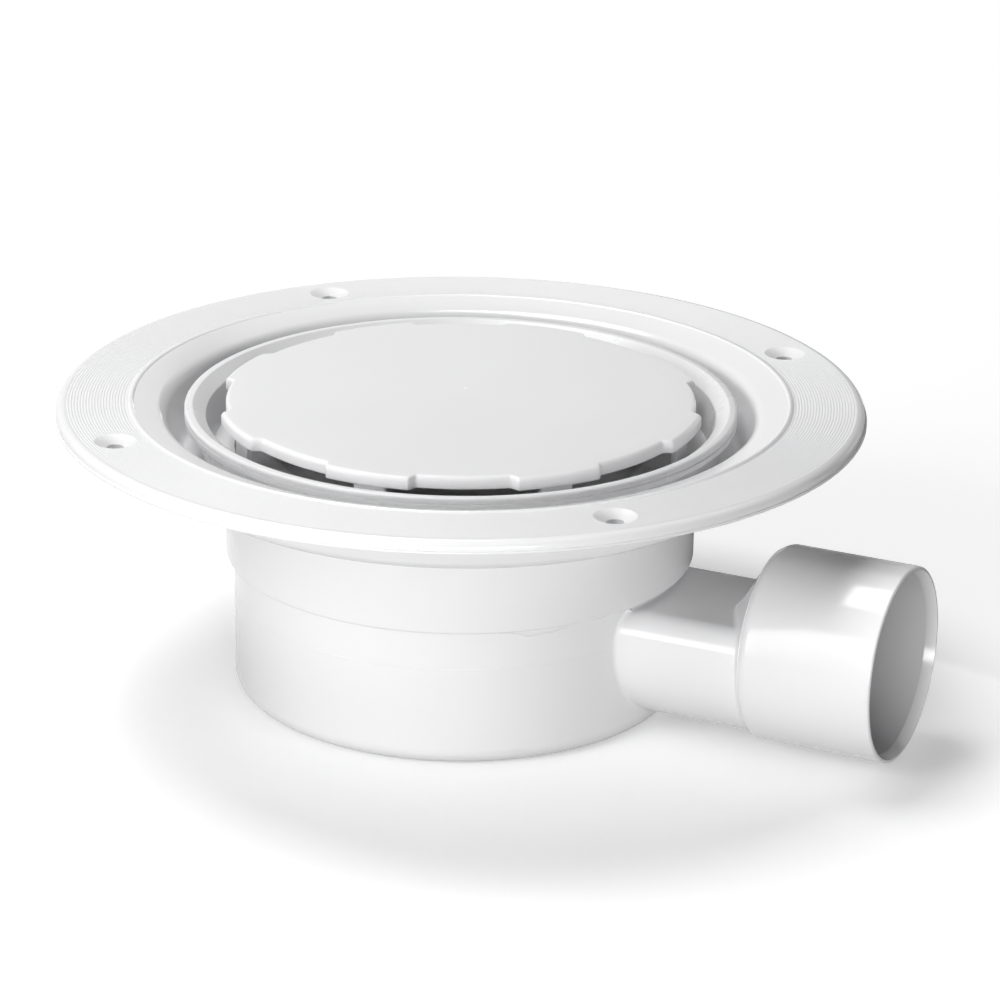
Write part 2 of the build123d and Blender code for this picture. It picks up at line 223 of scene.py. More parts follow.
tree.links.new(seen.outputs[0], mix.inputs[2])
tree.links.new(mix.outputs[0], tree.nodes["Material Output"].inputs["Surface"])
floor_mesh.materials.append(sweep)
print("floor at z =", round(cad_low.z, 4))

# %% [markdown]
# Two dark cards behind the part on the right, one standing and one lying, are mirrored
# in the edges that face them, and draw those edges in grey against the white. A
# photographer puts black card there for the same reason. The camera doesn't see them,
# and they throw no shadow on the floor.

# %% Dark cards
CARD_AZIMUTH, CARD_DISTANCE, CARD_HALF, CARD_HEIGHT = radians(166.0), 0.8, 0.53, 0.84
CARD_NEAR, CARD_FAR, CARD_LIFT, LYING_HALF = 0.11, 0.55, 0.002, 0.265
FELT_TONE = 0.03

felt = bpy.data.materials.new("dark_felt")
felt.use_nodes = True
pile = felt.node_tree.nodes["Principled BSDF"]
pile.inputs["Base Color"].default_value = (FELT_TONE, FELT_TONE, FELT_TONE, 1)
pile.inputs["Roughness"].default_value = 0.9


def dark_card(name, near, far, half, low, high):
    """Rectangle of dark felt from one distance and height to another, that wide to both sides."""
    away = np.array([sin(CARD_AZIMUTH), -cos(CARD_AZIMUTH), 0])
    sideways = np.array([cos(CARD_AZIMUTH), sin(CARD_AZIMUTH), 0])
    corners = (np.outer([near, near, far, far], away) + np.outer([-half, half, half, -half], sideways)
               + np.outer([low, low, high, high], [0, 0, 1]))
    mesh = bpy.data.meshes.new(name)
    mesh.from_pydata(corners.tolist(), [], [(0, 1, 2, 3)])
    mesh.materials.append(felt)
    card = bpy.data.objects.new(name, mesh)
    bpy.context.scene.collection.objects.link(card)
    card.visible_camera = card.visible_shadow = False
    return card


ground = cad_low.z + CARD_LIFT
cards = [dark_card("standing_card", CARD_DISTANCE, CARD_DISTANCE, CARD_HALF, ground, ground + CARD_HEIGHT),
         dark_card("lying_card", CARD_NEAR, CARD_FAR, LYING_HALF, ground, ground)]
print("dark cards:", ", ".join(card.name for card in cards))

# %% [markdown]
# ## Moulded plastic
# All the mouldings are one white plastic in three finishes. What tells them apart is
# not colour but how the mould was finished: polished steel gives the gloss body, a
# duller face gives the satin ring, and an eroded face gives the cover its fine grain.
# Each finish is a Principled shader whose roughness drifts a little, as a mould's
# polish does, with a bump for its grain. A second, wide bump gives the faint waviness
# of a thick moulding that has shrunk as it cooled. Patterns read Object coordinates,
# which are metres here, so that a scale of 1000 means features of a millimetre.

# %% Helpers for the finishes
def new_finish(name, tone, roughness):
    """Material with a Principled shader, and a node that gives its Object coordinates."""
    material = bpy.data.materials.new(name)
    material.use_nodes = True
    tree = material.node_tree
    shader = tree.nodes["Principled BSDF"]
    shader.inputs["Base Color"].default_value = (*tone, 1)
    shader.inputs["Roughness"].default_value = roughness
    where = tree.nodes.new("ShaderNodeTexCoord").outputs["Object"]
    return material, tree, shader, where


def noise(tree, where, scale, detail=2.0):
    """Value of a noise pattern, 0 to 1, with features about one over scale metres wide."""
    node = tree.nodes.new("ShaderNodeTexNoise")
    node.inputs["Scale"].default_value = scale
    node.inputs["Detail"].default_value = detail
    tree.links.new(where, node.inputs["Vector"])
    return node.outputs["Fac"]


def spread(tree, value, low, high):
    """A noise value, mapped from its usual middle range to low ... high."""
    node = tree.nodes.new("ShaderNodeMapRange")
    node.inputs["From Min"].default_value, node.inputs["From Max"].default_value = 0.3, 0.7
    node.inputs["To Min"].default_value, node.inputs["To Max"].default_value = low, high
    tree.links.new(value, node.inputs["Value"])
    return node.outputs["Result"]


def relief(tree, height, depth, under=None):
    """Bump of that depth in metres, laid over another bump where one is given."""
    node = tree.nodes.new("ShaderNodeBump")
    node.inputs["Distance"].default_value = depth
    node.inputs["Strength"].default_value = 1.0
    tree.links.new(height, node.inputs["Height"])
    if under is not None:
        tree.links.new(under, node.inputs["Normal"])
    return node.outputs["Normal"]


def blend_tones(tree, value, first, second):
    """Colour that goes from first to second with a 0 ... 1 value."""
    node = tree.nodes.new("ShaderNodeMix")
    node.data_type = "RGBA"
    node.inputs["A"].default_value, node.inputs["B"].default_value = (*first, 1), (*second, 1)
    tree.links.new(value, node.inputs["Factor"])
    return node.outputs["Result"]


# %% The three white plastics
def moulded_white(name, tone, shade, roughness, drift, grain_scale, grain_depth, wave_depth):
    """White plastic: tone drifts to shade, roughness by drift, grain and waviness as bumps."""
    material, tree, shader, where = new_finish(name, tone, roughness)
    tree.links.new(blend_tones(tree, spread(tree, noise(tree, where, 14.0), 0.0, 1.0), tone, shade),
                   shader.inputs["Base Color"])
    tree.links.new(spread(tree, noise(tree, where, 40.0, 4.0), roughness - drift, roughness + drift),
                   shader.inputs["Roughness"])
    waves = relief(tree, noise(tree, where, 30.0, 1.0), wave_depth)
    tree.links.new(relief(tree, noise(tree, where, grain_scale, 3.0), grain_depth, waves),
                   shader.inputs["Normal"])
    shader.inputs["IOR"].default_value = 1.5
    return material, tree, shader, where


GLOSS = dict(tone=(0.87, 0.87, 0.875), shade=(0.85, 0.85, 0.86), roughness=0.17, drift=0.03,
             grain_scale=900.0, grain_depth=0.000004, wave_depth=0.0001)
SATIN = dict(tone=(0.86, 0.86, 0.865), shade=(0.84, 0.84, 0.85), roughness=0.3, drift=0.05,
             grain_scale=1200.0, grain_depth=0.000003, wave_depth=0.00005)
MATTE = dict(tone=(0.85, 0.85, 0.855), shade=(0.83, 0.83, 0.84), roughness=0.5, drift=0.05,
             grain_scale=2200.0, grain_depth=0.00004, wave_depth=0.0001)

gloss_white = moulded_white("gloss_white", **GLOSS)[0]
satin_white = moulded_white("satin_white", **SATIN)[0]
matte_white = moulded_white("matte_white", **MATTE)[0]
print("plastics:", gloss_white.name, satin_white.name, matte_white.name)

# %% Dress the mouldings that keep their solids
def dress(piece, material):
    """Puts one material on the whole piece."""
    piece.data.materials.clear()
    piece.data.materials.append(material)


for node, material in (("trap_pot", gloss_white), ("trap_insert", satin_white)):
    dress(nodes[node], material)
    print(node, "in", material.name)

# %% [markdown]
# ## Pipe socket
# The socket is the same gloss plastic, but its bore was formed on a steel core that
# was turned on a lathe, and the plastic copies the turning marks: fine rings round
# the bore. A noise that runs only along the socket's axis gives such rings. They are
# kept to the bore by the distance from the socket's axis, read from the coordinates.
# The same mask paints shade into the bore. Its colour goes to a darker grey than the
# outside: painted shade for the deep, even shadow inside such a bore, which this light
# alone leaves paler.

# %% Pipe socket
SOCKET_AXIS = -0.058
SOCKET_BORE = 0.0292
SOCKET_CLEAR = 0.0279
# Painted shade: the grey that the bore's colour is blended to, for the shadow deep inside it.
BORE_PAINTED_SHADE = (0.58, 0.58, 0.59)
TURNING_SCALE, TURNING_DETAIL, TURNING_DEPTH = 1400.0, 4.0, 0.00004

socket_white, tree, shader, where = moulded_white("socket_white", **GLOSS)
parts = tree.nodes.new("ShaderNodeSeparateXYZ")
tree.links.new(where, parts.inputs[0])
flat = tree.nodes.new("ShaderNodeCombineXYZ")
tree.links.new(parts.outputs["Y"], flat.inputs["Y"])
tree.links.new(parts.outputs["Z"], flat.inputs["Z"])
off_axis = tree.nodes.new("ShaderNodeVectorMath")
off_axis.operation = "DISTANCE"
off_axis.inputs[1].default_value = (0, 0, SOCKET_AXIS)
tree.links.new(flat.outputs[0], off_axis.inputs[0])
in_bore = tree.nodes.new("ShaderNodeMapRange")
in_bore.inputs["From Min"].default_value, in_bore.inputs["From Max"].default_value = SOCKET_BORE, SOCKET_CLEAR
tree.links.new(off_axis.outputs["Value"], in_bore.inputs["Value"])
rings = tree.nodes.new("ShaderNodeTexNoise")
rings.noise_dimensions = "1D"
rings.inputs["Scale"].default_value = TURNING_SCALE
rings.inputs["Detail"].default_value = TURNING_DETAIL
tree.links.new(parts.outputs["X"], rings.inputs["W"])
masked = tree.nodes.new("ShaderNodeMath")
masked.operation = "MULTIPLY"
tree.links.new(rings.outputs["Fac"], masked.inputs[0])
tree.links.new(in_bore.outputs["Result"], masked.inputs[1])
# Painted shade: the bore mask blends the white plastic's colour to the darker grey inside the bore.
painted_bore_shade = tree.nodes.new("ShaderNodeMix")
painted_bore_shade.data_type = "RGBA"
painted_bore_shade.inputs["B"].default_value = (*BORE_PAINTED_SHADE, 1)
tree.links.new(in_bore.outputs["Result"], painted_bore_shade.inputs["Factor"])
tree.links.new(shader.inputs["Base Color"].links[0].from_socket, painted_bore_shade.inputs["A"])
tree.links.new(painted_bore_shade.outputs["Result"], shader.inputs["Base Color"])
under = shader.inputs["Normal"].links[0].from_socket
tree.links.new(relief(tree, masked.outputs[0], TURNING_DEPTH, under), shader.inputs["Normal"])
dress(nodes["pipe_socket"], socket_white)
print("turned rings inside", round(SOCKET_BORE * 1000, 1), "mm")

# %% [markdown]
# ## Screws and seal
# The clamp ring is held by four bright stainless screws, just seen in the gap under
# the cover, and the insert is sealed by a black rubber ring. Turned steel has fine
# rings round its axis, but at this size a stretched noise in its roughness is enough.
# Rubber is a dull black with a dusty bloom.

# %% Screws and seal
screw_steel, tree, shader, where = new_finish("screw_steel", (0.62, 0.62, 0.63), 0.25)
shader.inputs["Metallic"].default_value = 1.0
stretch = tree.nodes.new("ShaderNodeMapping")
stretch.inputs["Scale"].default_value = (1.0, 0.15, 1.0)
tree.links.new(where, stretch.inputs["Vector"])
brushed = noise(tree, stretch.outputs["Vector"], 6000.0, 3.0)
tree.links.new(spread(tree, brushed, 0.2, 0.38), shader.inputs["Roughness"])
tree.links.new(relief(tree, brushed, 0.000006), shader.inputs["Normal"])
dress(nodes["clamp_screws"], screw_steel)

seal_rubber, tree, shader, where = new_finish("seal_rubber", (0.05, 0.05, 0.05), 0.6)
bloom = noise(tree, where, 500.0, 4.0)
tree.links.new(blend_tones(tree, spread(tree, bloom, 0.0, 1.0), (0.04, 0.04, 0.04), (0.075, 0.075, 0.075)),
               shader.inputs["Base Color"])
tree.links.new(spread(tree, bloom, 0.5, 0.7), shader.inputs["Roughness"])
tree.links.new(relief(tree, noise(tree, where, 3000.0), 0.00002), shader.inputs["Normal"])
dress(nodes["insert_seal"], seal_rubber)
print("small parts:", screw_steel.name, seal_rubber.name)

# %% [markdown]
# ## Surfaces from numbers
# A turned shape is a profile carried round an axis. With the profile as an array of
# (radius, height) pairs and the turns as another array, every point comes from two
# outer products, and the faces from one grid of indices. The same grid serves for a
# profile carried along any path, which is how the weld and the seams are made below.

# %% Grid surfaces
MM, SHARP = 0.001, 28.0


def grid_faces(rows, columns, wrap_rows, wrap_columns):
    """Quads of a grid of points: each joins a point, its neighbour and the two in the next row."""
    r, c = np.meshgrid(np.arange(rows - (not wrap_rows)), np.arange(columns - (not wrap_columns)),
                       indexing="ij")
    r_next, c_next = (r + 1) % rows, (c + 1) % columns
    return np.stack([r * columns + c, r * columns + c_next, r_next * columns + c_next, r_next * columns + c],
                    axis=-1).reshape(-1, 4)


def smooth(mesh, sharp):
    """Shades a mesh smooth, but for edges sharper than that angle in degrees."""
    mesh.shade_smooth()
    mesh.set_sharp_from_angle(angle=radians(sharp))


def new_piece(name, points, faces, sharp=SHARP):
    """Object from points in millimetres and faces, smooth but for edges sharper than that angle."""
    mesh = bpy.data.meshes.new(name)
    mesh.from_pydata((np.asarray(points).reshape(-1, 3) * MM).tolist(), [], faces)
    smooth(mesh, sharp)
    piece = bpy.data.objects.new(name, mesh)
    bpy.context.scene.collection.objects.link(piece)
    return piece


def turned(profile, angles):
    """Points of a turned shape: radius times cosine and sine of each angle, at the profile's height."""
    radius, height = profile[:, 0], profile[:, 1]
    return np.stack([np.outer(radius, np.cos(angles)), np.outer(radius, np.sin(angles)),
                     np.outer(height, np.ones_like(angles))], axis=-1)


def rounded(corners, radii, steps=7):
    """Outline with its corners rounded: on each arc the two end spokes are blended by sines,
    which keeps their length, and a corner of radius 0 stays one point."""
    p, r = np.array(corners, float), np.array(radii, float)[:, None]
    a, b = np.roll(p, 1, axis=0) - p, np.roll(p, -1, axis=0) - p
    a, b = a / np.linalg.norm(a, axis=1)[:, None], b / np.linalg.norm(b, axis=1)[:, None]
    bend = np.arccos(np.clip((a * b).sum(axis=1), -1, 1))[:, None]
    middle = p + (a + b) / np.linalg.norm(a + b, axis=1)[:, None] * r / np.sin(bend / 2)
    first, last = p + a * r / np.tan(bend / 2) - middle, p + b * r / np.tan(bend / 2) - middle
    s = np.linspace(0, 1, steps + 1)[None, :, None]
    sweep = (pi - bend)[:, :, None]
    arc = (np.sin((1 - s) * sweep) * first[:, None] + np.sin(s * sweep) * last[:, None]) / np.sin(sweep)
    points = middle[:, None] + arc
    keep = (r > 0) | (np.arange(steps + 1) == 0)
    return points[keep]


print("grid of 3 by 4:", len(grid_faces(3, 4, False, True)), "quads")

# %% [markdown]
# ## Floor flange
# The flange is the face of the trap: a rolled rim, a band of fine grooves that keys
# the flooring adhesive, a bead, a shallow dish and the bowl. The grooves are only
# 0.9 mm wide, so a mesh with few turns shows them as a ripple. Here the whole
# moulding is one outline carried round in fine steps, with each groove as two slopes.
# It stands exactly where the solid is and takes its place.

# %% Outline of the flange
FLANGE_RADIUS, RIM_WALL_RADIUS, RIM_LIP_HEIGHT = 126.0, 125.5, 0.9
TOP, BEAD_RADIUS, BEAD_HALF_WIDTH, BEAD_HEIGHT = 4.0, 102.4, 0.9, 0.5
GROOVE_PITCH, GROOVE_DEPTH, GROOVE_COUNT, GROOVE_FIRST = 0.9, 0.13, 21, 103.8
BOWL_EDGE_RADIUS, BOWL_FLOOR_RADIUS, BOWL_FLOOR, BOWL_WALL = 92.0, 88.0, -14.4, 4.0
BOWL_EDGE = 1.0
COLLAR_INNER, COLLAR_OUTER, COLLAR_FOOT = 64.5, 67.9, -29.0
SKIRT_INNER, SKIRT_RADIUS, SKIRT_FOOT = 71.1, 73.6, -46.0
BOWL_UNDER = BOWL_FLOOR - BOWL_WALL

flange_corners = [(BEAD_RADIUS - BEAD_HALF_WIDTH, TOP), (BOWL_EDGE_RADIUS, BOWL_EDGE),
                  (BOWL_FLOOR_RADIUS, BOWL_FLOOR), (COLLAR_INNER, BOWL_FLOOR), (COLLAR_INNER, COLLAR_FOOT),
                  (COLLAR_OUTER, COLLAR_FOOT), (COLLAR_OUTER, BOWL_UNDER), (SKIRT_INNER, BOWL_UNDER),
                  (SKIRT_INNER, SKIRT_FOOT), (SKIRT_RADIUS, SKIRT_FOOT), (SKIRT_RADIUS, BOWL_UNDER),
                  (BOWL_FLOOR_RADIUS + BOWL_WALL, BOWL_UNDER),
                  (BOWL_EDGE_RADIUS + BOWL_WALL, BOWL_EDGE - BOWL_WALL),
                  (BEAD_RADIUS, 0), (FLANGE_RADIUS, 0), (FLANGE_RADIUS, RIM_LIP_HEIGHT),
                  (RIM_WALL_RADIUS, RIM_LIP_HEIGHT), (RIM_WALL_RADIUS, TOP)]
rounds = [0, 5.0, 3.0, 0, 0, 0, 0, 0, 0, 0.7, 0, 4.0, 3.0, 0, 0.3, 0.3, 0, 2.5]
groove = np.arange(2 * GROOVE_COUNT, -1, -1)
grooves = np.stack([GROOVE_FIRST + groove * GROOVE_PITCH / 2, TOP - GROOVE_DEPTH * (groove % 2)], axis=1)
bead_curve = (BEAD_HALF_WIDTH ** 2 + BEAD_HEIGHT ** 2) / (2 * BEAD_HEIGHT)
swing = np.linspace(1, -1, 8)[:-1] * np.arcsin(BEAD_HALF_WIDTH / bead_curve)
bead = np.stack([BEAD_RADIUS + bead_curve * np.sin(swing),
                 TOP + BEAD_HEIGHT + bead_curve * (np.cos(swing) - 1)], axis=1)
outline = np.concatenate([rounded(flange_corners, rounds), grooves, bead])
print("flange outline:", len(outline), "points")

# %% [markdown]
# The grooved band was cut into the mould with a pointed tool and never polished, so it
# is duller than the rest of the flange. Its roughness follows the distance from the
# flange's axis: a Map Range turns that distance into a soft-edged mask of the band.

# %% Finish of the flange
BAND_MIDDLE, BAND_HALF, BAND_SOFT, BAND_DULLING = 0.1132, 0.0098, 0.0005, 0.4

flange_white, tree, shader, where = moulded_white("flange_white", **GLOSS)
level_place = tree.nodes.new("ShaderNodeVectorMath")
level_place.operation = "MULTIPLY"
level_place.inputs[1].default_value = (1, 1, 0)
tree.links.new(where, level_place.inputs[0])
from_axis = tree.nodes.new("ShaderNodeVectorMath")
from_axis.operation = "LENGTH"
tree.links.new(level_place.outputs[0], from_axis.inputs[0])
from_middle = tree.nodes.new("ShaderNodeMath")
from_middle.operation = "SUBTRACT"
from_middle.inputs[1].default_value = BAND_MIDDLE
tree.links.new(from_axis.outputs["Value"], from_middle.inputs[0])
aside = tree.nodes.new("ShaderNodeMath")
aside.operation = "ABSOLUTE"
tree.links.new(from_middle.outputs[0], aside.inputs[0])
dulled = tree.nodes.new("ShaderNodeMapRange")
dulled.inputs["From Min"].default_value = BAND_HALF
dulled.inputs["From Max"].default_value = BAND_HALF - BAND_SOFT
dulled.inputs["To Max"].default_value = BAND_DULLING
tree.links.new(aside.outputs[0], dulled.inputs["Value"])
duller = tree.nodes.new("ShaderNodeMath")
duller.operation = "ADD"
tree.links.new(shader.inputs["Roughness"].links[0].from_socket, duller.inputs[0])
tree.links.new(dulled.outputs["Result"], duller.inputs[1])
tree.links.new(duller.outputs[0], shader.inputs["Roughness"])
print("dull band", round(2 * BAND_HALF * 1000, 1), "mm wide")

# %% [markdown]
# The four countersunk holes and the pilot holes of the clamp screws cross those
# turned lines. Cutters are turned in the same way, set round the flange, and taken
# out with a Boolean, and the small bosses under the bowl are joined on first.

# %% Holes and bosses of the flange
FLANGE_TURN = radians(4.2)
SCREW_CIRCLE, SCREW_HOLE, COUNTERSINK, COUNTERSINK_DEPTH = 113.0, 2.6, 6.6, 2.0
CLAMP_CIRCLE, CLAMP_LEAD, PILOT, BOSS, BOSS_FOOT, PILOT_FOOT = 74.0, radians(8.0), 1.7, 3.6, -22.4, -21.0
FLANGE_STEPS, HOLE_STEPS, FLANGE_SHARP = 540, 64, 20.0
SPARE, BOSS_IN_SKIRT = 1.0, 0.4


def set_round(sections, count, first):
    """Copies of a stack of outlines, each turned about the axis by cosine and sine: points, and
    faces that join neighbouring outlines and close both ends."""
    around = first + np.arange(count) * 2 * pi / count
    c, s, o = np.cos(around), np.sin(around), np.zeros(count)
    spin = np.array([[c, -s, o], [s, c, o], [o, o, o + 1]]).transpose(2, 0, 1)
    points = np.einsum("kij,rnj->krni", spin, sections).reshape(-1, 3)
    rows, steps = sections.shape[:2]
    shift = (np.arange(count) * rows * steps)[:, None, None]
    ends = np.stack([np.arange(steps)[::-1], np.arange(steps) + (rows - 1) * steps])
    faces = (grid_faces(rows, steps, False, True) + shift).reshape(-1, 4).tolist()
    return points, faces + (ends + shift).reshape(-1, steps).tolist()


def pegs(profile, circle, first):
    """Four turned solids with flat ends, standing a quarter turn apart on a circle."""
    sections = turned(np.array(profile), np.arange(HOLE_STEPS) * 2 * pi / HOLE_STEPS)
    return set_round(sections + (circle, 0, 0), 4, first)


def carve(piece, points, faces, operation):
    """Joins pegs to the piece or cuts them from it, and keeps the result as its mesh."""
    tool = new_piece("tool", points, faces)
    step = piece.modifiers.new("carve", "BOOLEAN")
    step.operation, step.solver, step.object = operation, "EXACT", tool
    done = bpy.data.meshes.new_from_object(piece.evaluated_get(bpy.context.evaluated_depsgraph_get()))
    piece.modifiers.clear()
    piece.data = done
    bpy.data.objects.remove(tool)


turns = np.arange(FLANGE_STEPS) * 2 * pi / FLANGE_STEPS
flange = new_piece("grooved_flange", turned(outline, turns),
                   grid_faces(len(outline), FLANGE_STEPS, True, True).tolist())
boss_points, boss_faces = pegs([(BOSS, BOSS_FOOT), (BOSS, BOWL_UNDER + SPARE)], CLAMP_CIRCLE,
                               FLANGE_TURN + CLAMP_LEAD)
reach = np.hypot(boss_points[:, 0], boss_points[:, 1])
boss_points[:, :2] *= (np.maximum(reach, SKIRT_INNER + BOSS_IN_SKIRT) / reach)[:, None]
carve(flange, boss_points, boss_faces, "UNION")
carve(flange, *pegs([(SCREW_HOLE, -SPARE), (SCREW_HOLE, TOP - COUNTERSINK_DEPTH),
                     (2 * COUNTERSINK - SCREW_HOLE, TOP + COUNTERSINK_DEPTH)],
                    SCREW_CIRCLE, FLANGE_TURN + pi / 4), "DIFFERENCE")
carve(flange, *pegs([(PILOT, PILOT_FOOT), (PILOT, BOWL_FLOOR + SPARE)], CLAMP_CIRCLE,
                    FLANGE_TURN + CLAMP_LEAD), "DIFFERENCE")
smooth(flange.data, FLANGE_SHARP)
dress(flange, flange_white)
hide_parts("floor_flange")
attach(flange, "root")
print("flange:", sum(len(p.vertices) - 2 for p in flange.data.polygons), "triangles")

# %% [markdown]
# ## Clamp ring
# The ring presses the flooring into the bowl. Its rolled lip, with a fine line round it,
# catches a highlight all the way round, which shows every flat of a coarse mesh. So it
# is turned in fine steps as well: one closed outline, with its corners rounded.

# %% Clamp ring
LIP_RADIUS, LIP_INNER, LIP_TOP, LIP_FOOT, LIP_LINE, LIP_LINE_DEPTH = 86.0, 83.4, 2.0, -2.6, 0.0, 0.35
THROAT_RADIUS, THROAT_EDGE, NECK_RADIUS = 79.3, -1.0, 77.0
RING_INNER, RING_FOOT, RING_BASE_TOP, RING_HOLE = 70.5, 80.0, -11.4, 1.95

ring_corners = [(LIP_RADIUS, LIP_FOOT), (LIP_RADIUS, LIP_LINE - LIP_LINE_DEPTH),
                (LIP_RADIUS - LIP_LINE_DEPTH, LIP_LINE), (LIP_RADIUS, LIP_LINE + LIP_LINE_DEPTH),
                (LIP_RADIUS, LIP_TOP), (LIP_INNER, LIP_TOP), (THROAT_RADIUS, THROAT_EDGE),
                (NECK_RADIUS, RING_BASE_TOP), (RING_INNER, RING_BASE_TOP), (RING_INNER, BOWL_FLOOR),
                (RING_FOOT, BOWL_FLOOR), (LIP_INNER, LIP_FOOT)]
ring_outline = rounded(ring_corners, [1.0, 0, 0, 0, 1.0, 1.0, 1.0, 0, 0, 0, 0, 0])
ring = new_piece("lipped_ring", turned(ring_outline, turns),
                 grid_faces(len(ring_outline), FLANGE_STEPS, True, True).tolist())
carve(ring, *pegs([(RING_HOLE, BOWL_FLOOR - SPARE), (RING_HOLE, RING_BASE_TOP + SPARE)], CLAMP_CIRCLE,
                  FLANGE_TURN + CLAMP_LEAD), "DIFFERENCE")
smooth(ring.data, SHARP)
dress(ring, satin_white)
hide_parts("clamp_ring")
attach(ring, "root")
print("ring:", sum(len(p.vertices) - 2 for p in ring.data.polygons), "triangles")

# %% [markdown]
# ## Cover
# The cover is a plate with eight shallow lobes, soft all round because its edge is
# handled. A lobed outline is a radius that depends on the angle: it rises by a smooth
# step at both ends of each lobe. The edge's own profile, a quarter round above a short
# wall, is then taken inwards from that outline. The legs under the lobes are joined on.

# %% Cover
LOBES, LOBE_RADIUS, LOBE_STEP, LOBE_HALF, LOBE_RISE = 8, 75.7, 2.6, radians(10.75), 2.6
COVER_UNDER, EDGE_ROUND, FOOT_ROUND, EDGE_BAND, COVER_STEPS = 0.0, 1.5, 0.3, 8.0, 1440
LEG_INNER, LEG_OUTER, LEG_HALF, LEG_ROUND, LEG_IN_PLATE = 70.8, 72.9, 5.0, 0.5, 0.5
COVER_SHARP = 40.0


def lobed(angles):
    """Radius of the cover's edge: the notches' radius plus the step times 3t^2 - 2t^3, where t goes
    from 0 to 1 over a short stretch at both ends of each lobe."""
    off_middle = np.abs((angles - FLANGE_TURN + pi / LOBES) % (2 * pi / LOBES) - pi / LOBES)
    t = np.clip((LOBE_HALF - off_middle) * LOBE_RADIUS / LOBE_RISE + 0.5, 0, 1)
    return LOBE_RADIUS - LOBE_STEP + LOBE_STEP * t * t * (3 - 2 * t)


def edge_rows(angles, inset, height):
    """Points of the edge: at each row the outline's radius less that row's inset, at its height."""
    radius = lobed(angles)[None] - inset[:, None]
    return np.stack([radius * np.cos(angles), radius * np.sin(angles),
                     np.broadcast_to(height[:, None], radius.shape)], axis=-1)


quarter = np.linspace(0, pi / 2, 9)
inset = np.concatenate([[EDGE_BAND, FOOT_ROUND, 0], EDGE_ROUND * (1 - np.cos(quarter)), [EDGE_BAND]])
height = np.concatenate([[COVER_UNDER, COVER_UNDER, COVER_UNDER + FOOT_ROUND],
                         TOP - EDGE_ROUND + EDGE_ROUND * np.sin(quarter), [TOP]])
plate = edge_rows(np.arange(COVER_STEPS) * 2 * pi / COVER_STEPS, inset, height)
cover = new_piece("lobed_cover", *set_round(plate, 1, 0.0))
leg = rounded([(LEG_INNER, -LEG_HALF), (LEG_OUTER, -LEG_HALF), (LEG_OUTER, LEG_HALF), (LEG_INNER, LEG_HALF)],
              [LEG_ROUND] * 4)
leg_ends = np.array([RING_BASE_TOP, COVER_UNDER + LEG_IN_PLATE])
legs = np.concatenate([np.tile(leg, (2, 1, 1)), np.repeat(leg_ends, len(leg)).reshape(2, -1, 1)], axis=2)
carve(cover, *set_round(legs, LOBES, FLANGE_TURN), "UNION")
smooth(cover.data, COVER_SHARP)
dress(cover, matte_white)
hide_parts("cover_plate")
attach(cover, "root")
print("cover:", sum(len(p.vertices) - 2 for p in cover.data.polygons), "triangles")

# %% [markdown]
# ## Weld and seams
# The pot is welded into the skirt, and a little melted plastic is squeezed out along
# the edge on the outlet's side. The socket is welded on in the same way, and the pot's
# mould left a faint line where its halves met. Each is a small closed outline carried
# along a path: an ellipse whose size changes along the way, or a plain circle.

# %% Weld and seams
POT_RADIUS = 71.0
TUBE_STEPS, TUBE_SHARP = 16, 60.0
SQUEEZE_STEPS, SQUEEZE_FROM, SQUEEZE_TO = 160, -64, -26
SAG_LEAST, SAG_MOST, SAG_MIDDLE, SAG_WIDTH = 0.25, 1.15, 0.52, 0.2
PARTING_STEPS, PARTING_GAP, PARTING_LEVEL = 400, 24.6, -58.6
PARTING_WIDE, PARTING_TALL = 0.07, 0.16
SEAM_STEPS, SEAM_AT, SEAM_RADIUS, SEAM_WIDE, SEAM_TALL = 240, 106.8, 28.72, 0.2, 0.22


def carried(name, path, out, up, wide, tall, closed, material):
    """Tube along a path: at each point an ellipse of half-widths wide and tall along out and up."""
    swing = np.linspace(0, 2 * pi, TUBE_STEPS, endpoint=False)
    points = (path[:, None] + np.cos(swing)[None, :, None] * (out * wide[:, None])[:, None]
              + np.sin(swing)[None, :, None] * (up * tall[:, None])[:, None])
    count = len(path)
    faces = grid_faces(count, TUBE_STEPS, closed, True)[:, ::-1].tolist()
    if not closed:
        end = np.arange(TUBE_STEPS)
        faces += [end.tolist(), (end[::-1] + (count - 1) * TUBE_STEPS).tolist()]
    piece = new_piece(name, points, faces, TUBE_SHARP)
    dress(piece, material)
    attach(piece, "root")
    return piece


def spokes(angles):
    """Unit vectors straight out from the pot's axis."""
    return np.stack([np.cos(angles), np.sin(angles), np.zeros_like(angles)], axis=1)


squeeze = np.radians(np.linspace(SQUEEZE_FROM, SQUEEZE_TO, SQUEEZE_STEPS))
along = np.linspace(0, 1, SQUEEZE_STEPS)
sag = SAG_LEAST + SAG_MOST * np.exp(-((along - SAG_MIDDLE) / SAG_WIDTH) ** 2)
ripple = 0.2 * np.sin(31 * along) * along + 0.14 * np.sin(73 * along + 1) * along
hang = (sag + ripple) * np.sin(pi * along) ** 0.4 + 0.02
upward = np.tile([0.0, 0, 1], (SQUEEZE_STEPS, 1))
weld_path = spokes(squeeze) * (POT_RADIUS + 0.02) + upward * (SKIRT_FOOT + 0.1 - hang)[:, None]
weld = carried("weld_squeeze", weld_path, spokes(squeeze), upward, 0.12 + 0.36 * np.sin(pi * along) ** 0.5,
               hang, False, gloss_white)

lap = np.radians(np.linspace(PARTING_GAP, 360 - PARTING_GAP, PARTING_STEPS))
parting = carried("parting_line", spokes(lap) * POT_RADIUS + (0, 0, PARTING_LEVEL), spokes(lap),
                  np.tile([0.0, 0, 1], (PARTING_STEPS, 1)), np.full(PARTING_STEPS, PARTING_WIDE),
                  np.full(PARTING_STEPS, PARTING_TALL), False, gloss_white)

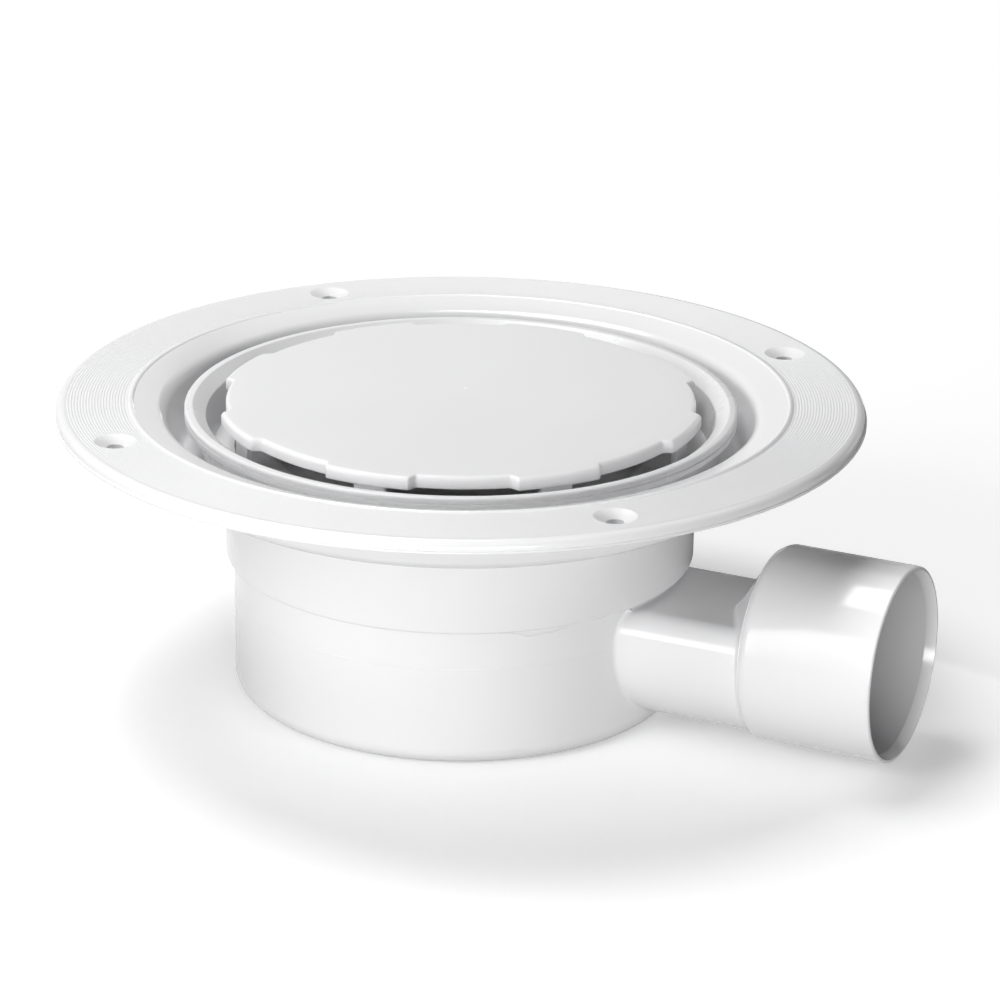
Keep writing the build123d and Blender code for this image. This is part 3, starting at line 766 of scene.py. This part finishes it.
circle = np.arange(SEAM_STEPS) * 2 * pi / SEAM_STEPS
outward = np.stack([np.zeros(SEAM_STEPS), np.cos(circle), np.sin(circle)], axis=1)
seam = carried("socket_seam", outward * SEAM_RADIUS + (SEAM_AT, 0, SOCKET_AXIS / MM), outward,
               np.tile([1.0, 0, 0], (SEAM_STEPS, 1)), np.full(SEAM_STEPS, SEAM_WIDE),
               np.full(SEAM_STEPS, SEAM_TALL), True, gloss_white)
print("welds and seams:", weld.name, parting.name, seam.name)

# %% [markdown]
# ## Small marks
# Moulded parts carry a few honest marks: the stub where the plastic entered the cover's
# mould, a bead of flash at the corner of the skirt and the pipe, and the cut gate on
# the socket's lip. Each is a low dome, a function of a distance and an angle.

# %% Small marks
DOME_ROWS, DOME_STEPS, DOME_SINK, DOME_SHARP = 8, 28, 0.04, 75.0
FLASH_ANGLE, FLASH_REACH, FLASH_LEVEL = radians(-18.5), 72.2, -47.0


def dome(name, centre, along, across, out, half_length, half_width, height, material):
    """Low lump on a surface: height times a cosine bell of the distance from its middle, with
    a slightly uneven edge, laid along two directions on the surface."""
    rows, turns = np.linspace(1, 0, DOME_ROWS + 1)[:-1], np.arange(DOME_STEPS) * 2 * pi / DOME_STEPS
    d, a = np.meshgrid(rows, turns, indexing="ij")
    edge = 1 + 0.12 * np.sin(3 * a + 0.7) + 0.07 * np.sin(5 * a)
    bell = height * (0.5 + 0.5 * np.cos(pi * d)) - DOME_SINK
    points = (np.asarray(centre) + np.multiply.outer(half_length * d * edge * np.cos(a), along)
              + np.multiply.outer(half_width * d * edge * np.sin(a), across)
              + np.multiply.outer(bell, out))
    edge_ring = np.arange(DOME_STEPS)
    faces = grid_faces(DOME_ROWS, DOME_STEPS, False, True).tolist()
    faces += [(edge_ring + (DOME_ROWS - 1) * DOME_STEPS).tolist(), edge_ring[::-1].tolist()]
    piece = new_piece(name, points, faces, DOME_SHARP)
    dress(piece, material)
    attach(piece, "root")
    return piece


stub = dome("cover_gate_stub", (-1.9, 7.2, TOP), (1, 0, 0), (0, 1, 0), (0, 0, 1), 1.0, 0.8, 0.3,
            matte_white)
flash_out = np.array([cos(FLASH_ANGLE), sin(FLASH_ANGLE), 0])
flash = dome("corner_flash", flash_out * FLASH_REACH + (0, 0, FLASH_LEVEL), (0, 0, 1),
             (sin(FLASH_ANGLE), -cos(FLASH_ANGLE), 0), flash_out, 0.8, 1.3, 1.4, gloss_white)
gate = dome("socket_gate", (148.3, -30.27, -58.4), (1, 0, 0), (0, 0, 1), (0, -1, 0), 0.9, 0.28, 0.26,
            gloss_white)
print("marks:", stub.name, flash.name, gate.name)
